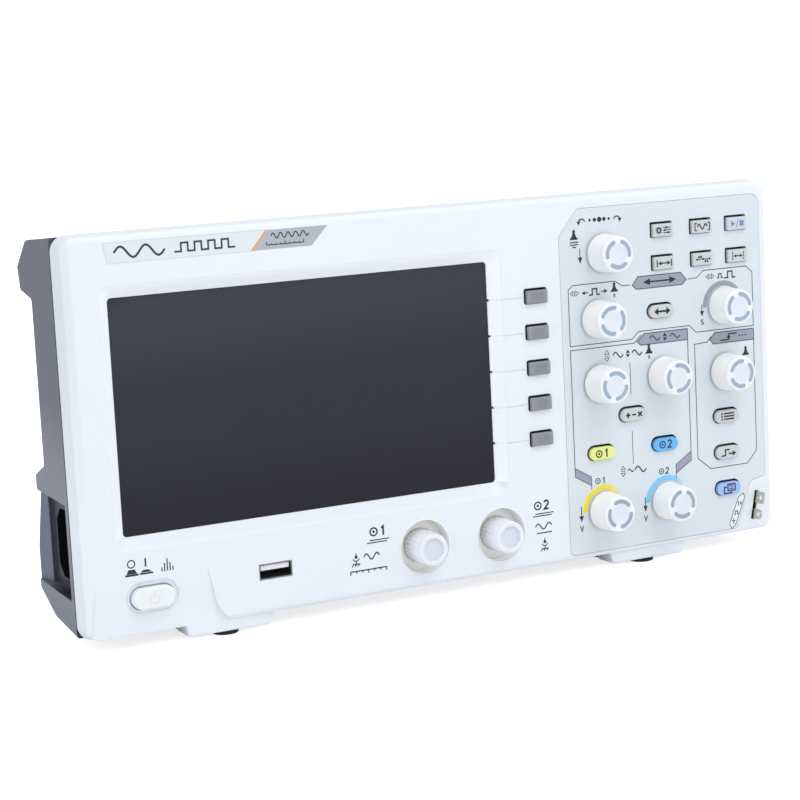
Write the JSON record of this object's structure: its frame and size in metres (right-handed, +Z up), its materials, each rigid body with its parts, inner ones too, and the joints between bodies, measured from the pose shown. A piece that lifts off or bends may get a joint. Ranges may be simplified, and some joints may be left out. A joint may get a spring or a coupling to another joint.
{
  "type": "oscilloscope",
  "caption": "Bench digital oscilloscope: wide flat case with display, soft keys, rotary knobs, coloured channel keys, capped BNC inputs, fold-out tilt legs and mains pocket.",
  "frame": {"origin": "middle of the overall footprint, on the plane the rubber pads stand on", "axes": "+X to the right seen from the front, the display and knobs face -Y, +Z up"},
  "size_m": [0.301, 0.07, 0.1499],
  "materials": {
    "white_case": "fine matte moulded plastic",
    "cover_case": "fine matte moulded plastic, blue-grey",
    "leg_plastic": "moulded plastic, blue-grey",
    "fascia": "printed satin overlay",
    "window": "clear acrylic, polished",
    "display": "dark display panel",
    "circuit_board": "solder-masked laminate with parts",
    "switch_body": "moulded",
    "encoder_metal": "zinc die-cast and steel",
    "socket_metal": "nickel plated",
    "inlet_plastic": "black moulded",
    "pad_rubber": "soft matte",
    "screw_steel": "zinc plated",
    "soft_key": "satin",
    "grey_key": "translucent satin",
    "run_key": "translucent satin",
    "yellow_key": "translucent satin",
    "blue_key": "translucent satin",
    "pale_blue_key": "translucent satin",
    "power_key": "satin",
    "knob_white": "satin",
    "shaft_metal": "turned",
    "rotor_plastic": "moulded",
    "cap_plastic": "translucent soft plastic"
  },
  "bodies": {
    "chassis": {"front_panel": "white_case", "rear_cover": "cover_case", "control_fascia": "fascia", "display_window": "window", "lcd_module": "display", "keypad_board": "circuit_board", "encoder_bodies": "encoder_metal", "key_switches": "switch_body", "main_board": "circuit_board", "power_board": "circuit_board", "bnc_sockets": "socket_metal", "usb_socket": "socket_metal", "mains_inlet": "inlet_plastic", "cal_terminals": "socket_metal", "foot_pads": "pad_rubber", "case_screws": "screw_steel"},
    "soft_key_1": {"soft_key_1": "soft_key"},
    "soft_key_2": {"soft_key_2": "soft_key"},
    "soft_key_3": {"soft_key_3": "soft_key"},
    "soft_key_4": {"soft_key_4": "soft_key"},
    "soft_key_5": {"soft_key_5": "soft_key"},
    "utility_key": {"utility_key": "grey_key"},
    "autoset_key": {"autoset_key": "grey_key"},
    "measure_key": {"measure_key": "grey_key"},
    "acquire_key": {"acquire_key": "grey_key"},
    "cursor_key": {"cursor_key": "grey_key"},
    "horizontal_key": {"horizontal_key": "grey_key"},
    "math_key": {"math_key": "grey_key"},
    "trigger_menu_key": {"trigger_menu_key": "grey_key"},
    "force_key": {"force_key": "grey_key"},
    "run_stop_key": {"run_stop_key": "run_key"},
    "channel_1_key": {"channel_1_key": "yellow_key"},
    "channel_2_key": {"channel_2_key": "blue_key"},
    "copy_key": {"copy_key": "pale_blue_key"},
    "power_button": {"power_button": "power_key"},
    "multipurpose_knob": {"multipurpose_knob": "knob_white", "multipurpose_shaft": "shaft_metal"},
    "multipurpose_rotor": {"multipurpose_rotor": "rotor_plastic"},
    "horizontal_position_knob": {"horizontal_position_knob": "knob_white", "horizontal_position_shaft": "shaft_metal"},
    "horizontal_position_rotor": {"horizontal_position_rotor": "rotor_plastic"},
    "horizontal_scale_knob": {"horizontal_scale_knob": "knob_white", "horizontal_scale_shaft": "shaft_metal"},
    "channel_1_position_knob": {"channel_1_position_knob": "knob_white", "channel_1_position_shaft": "shaft_metal"},
    "channel_1_position_rotor": {"channel_1_position_rotor": "rotor_plastic"},
    "channel_2_position_knob": {"channel_2_position_knob": "knob_white", "channel_2_position_shaft": "shaft_metal"},
    "channel_2_position_rotor": {"channel_2_position_rotor": "rotor_plastic"},
    "trigger_level_knob": {"trigger_level_knob": "knob_white", "trigger_level_shaft": "shaft_metal"},
    "trigger_level_rotor": {"trigger_level_rotor": "rotor_plastic"},
    "channel_1_scale_knob": {"channel_1_scale_knob": "knob_white", "channel_1_scale_shaft": "shaft_metal"},
    "channel_2_scale_knob": {"channel_2_scale_knob": "knob_white", "channel_2_scale_shaft": "shaft_metal"},
    "tilt_leg_left": {"tilt_leg_left": "leg_plastic"},
    "tilt_leg_right": {"tilt_leg_right": "leg_plastic"},
    "channel_1_dust_cap": {"channel_1_dust_cap": "cap_plastic"},
    "channel_2_dust_cap": {"channel_2_dust_cap": "cap_plastic"}
  },
  "joints": [
    {"name": "soft_key_1_press", "type": "slide", "parent": "chassis", "child": "soft_key_1", "axis": [0, 1, 0], "range_m": [0, 0.0008], "stiffness_N_per_m": 20},
    {"name": "soft_key_2_press", "type": "slide", "parent": "chassis", "child": "soft_key_2", "axis": [0, 1, 0], "range_m": [0, 0.0008], "stiffness_N_per_m": 20},
    {"name": "soft_key_3_press", "type": "slide", "parent": "chassis", "child": "soft_key_3", "axis": [0, 1, 0], "range_m": [0, 0.0008], "stiffness_N_per_m": 20},
    {"name": "soft_key_4_press", "type": "slide", "parent": "chassis", "child": "soft_key_4", "axis": [0, 1, 0], "range_m": [0, 0.0008], "stiffness_N_per_m": 20},
    {"name": "soft_key_5_press", "type": "slide", "parent": "chassis", "child": "soft_key_5", "axis": [0, 1, 0], "range_m": [0, 0.0008], "stiffness_N_per_m": 20},
    {"name": "utility_key_press", "type": "slide", "parent": "chassis", "child": "utility_key", "axis": [0, 1, 0], "range_m": [0, 0.0008], "stiffness_N_per_m": 20},
    {"name": "autoset_key_press", "type": "slide", "parent": "chassis", "child": "autoset_key", "axis": [0, 1, 0], "range_m": [0, 0.0008], "stiffness_N_per_m": 20},
    {"name": "measure_key_press", "type": "slide", "parent": "chassis", "child": "measure_key", "axis": [0, 1, 0], "range_m": [0, 0.0008], "stiffness_N_per_m": 20},
    {"name": "acquire_key_press", "type": "slide", "parent": "chassis", "child": "acquire_key", "axis": [0, 1, 0], "range_m": [0, 0.0008], "stiffness_N_per_m": 20},
    {"name": "cursor_key_press", "type": "slide", "parent": "chassis", "child": "cursor_key", "axis": [0, 1, 0], "range_m": [0, 0.0008], "stiffness_N_per_m": 20},
    {"name": "horizontal_key_press", "type": "slide", "parent": "chassis", "child": "horizontal_key", "axis": [0, 1, 0], "range_m": [0, 0.0008], "stiffness_N_per_m": 20},
    {"name": "math_key_press", "type": "slide", "parent": "chassis", "child": "math_key", "axis": [0, 1, 0], "range_m": [0, 0.0008], "stiffness_N_per_m": 20},
    {"name": "trigger_menu_key_press", "type": "slide", "parent": "chassis", "child": "trigger_menu_key", "axis": [0, 1, 0], "range_m": [0, 0.0008], "stiffness_N_per_m": 20},
    {"name": "force_key_press", "type": "slide", "parent": "chassis", "child": "force_key", "axis": [0, 1, 0], "range_m": [0, 0.0008], "stiffness_N_per_m": 20},
    {"name": "run_stop_key_press", "type": "slide", "parent": "chassis", "child": "run_stop_key", "axis": [0, 1, 0], "range_m": [0, 0.0008], "stiffness_N_per_m": 20},
    {"name": "channel_1_key_press", "type": "slide", "parent": "chassis", "child": "channel_1_key", "axis": [0, 1, 0], "range_m": [0, 0.0008], "stiffness_N_per_m": 20},
    {"name": "channel_2_key_press", "type": "slide", "parent": "chassis", "child": "channel_2_key", "axis": [0, 1, 0], "range_m": [0, 0.0008], "stiffness_N_per_m": 20},
    {"name": "copy_key_press", "type": "slide", "parent": "chassis", "child": "copy_key", "axis": [0, 1, 0], "range_m": [0, 0.0008], "stiffness_N_per_m": 20},
    {"name": "power_button_press", "type": "slide", "parent": "chassis", "child": "power_button", "axis": [0, 1, 0], "range_m": [0, 0.0025]},
    {"name": "multipurpose_turn", "type": "hinge", "parent": "chassis", "child": "multipurpose_rotor", "pos_m": [0.0709, -0.0157, 0.1262], "axis": [0, 1, 0], "continuous": true},
    {"name": "multipurpose_push", "type": "slide", "parent": "multipurpose_rotor", "child": "multipurpose_knob", "axis": [0, 1, 0], "range_m": [0, 0.0005], "stiffness_N_per_m": 50},
    {"name": "horizontal_position_turn", "type": "hinge", "parent": "chassis", "child": "horizontal_position_rotor", "pos_m": [0.0674, -0.0157, 0.1007], "axis": [0, 1, 0], "continuous": true},
    {"name": "horizontal_position_push", "type": "slide", "parent": "horizontal_position_rotor", "child": "horizontal_position_knob", "axis": [0, 1, 0], "range_m": [0, 0.0005], "stiffness_N_per_m": 50},
    {"name": "horizontal_scale_turn", "type": "hinge", "parent": "chassis", "child": "horizontal_scale_knob", "pos_m": [0.1274, -0.0157, 0.1006], "axis": [0, 1, 0], "continuous": true},
    {"name": "channel_1_position_turn", "type": "hinge", "parent": "chassis", "child": "channel_1_position_rotor", "pos_m": [0.0675, -0.0157, 0.0752], "axis": [0, 1, 0], "continuous": true},
    {"name": "channel_1_position_push", "type": "slide", "parent": "channel_1_position_rotor", "child": "channel_1_position_knob", "axis": [0, 1, 0], "range_m": [0, 0.0005], "stiffness_N_per_m": 50},
    {"name": "channel_2_position_turn", "type": "hinge", "parent": "chassis", "child": "channel_2_position_rotor", "pos_m": [0.0973, -0.0157, 0.0752], "axis": [0, 1, 0], "continuous": true},
    {"name": "channel_2_position_push", "type": "slide", "parent": "channel_2_position_rotor", "child": "channel_2_position_knob", "axis": [0, 1, 0], "range_m": [0, 0.0005], "stiffness_N_per_m": 50},
    {"name": "trigger_level_turn", "type": "hinge", "parent": "chassis", "child": "trigger_level_rotor", "pos_m": [0.1276, -0.0157, 0.0736], "axis": [0, 1, 0], "continuous": true},
    {"name": "trigger_level_push", "type": "slide", "parent": "trigger_level_rotor", "child": "trigger_level_knob", "axis": [0, 1, 0], "range_m": [0, 0.0005], "stiffness_N_per_m": 50},
    {"name": "channel_1_scale_turn", "type": "hinge", "parent": "chassis", "child": "channel_1_scale_knob", "pos_m": [0.0676, -0.0157, 0.0245], "axis": [0, 1, 0], "continuous": true},
    {"name": "channel_2_scale_turn", "type": "hinge", "parent": "chassis", "child": "channel_2_scale_knob", "pos_m": [0.0973, -0.0157, 0.0245], "axis": [0, 1, 0], "continuous": true},
    {"name": "tilt_leg_left_fold", "type": "hinge", "parent": "chassis", "child": "tilt_leg_left", "pos_m": [-0.09425, -0.0077, 0.0039], "axis": [-1, 0, 0], "range_deg": [0, 90]},
    {"name": "tilt_leg_right_fold", "type": "hinge", "parent": "chassis", "child": "tilt_leg_right", "pos_m": [0.0887, -0.0077, 0.0039], "axis": [-1, 0, 0], "range_deg": [0, 90]},
    {"name": "channel_1_dust_cap_pull", "type": "slide", "parent": "chassis", "child": "channel_1_dust_cap", "axis": [0, -1, 0], "range_m": [0, 0.015]},
    {"name": "channel_2_dust_cap_pull", "type": "slide", "parent": "chassis", "child": "channel_2_dust_cap", "axis": [0, -1, 0], "range_m": [0, 0.015]}
  ]
}
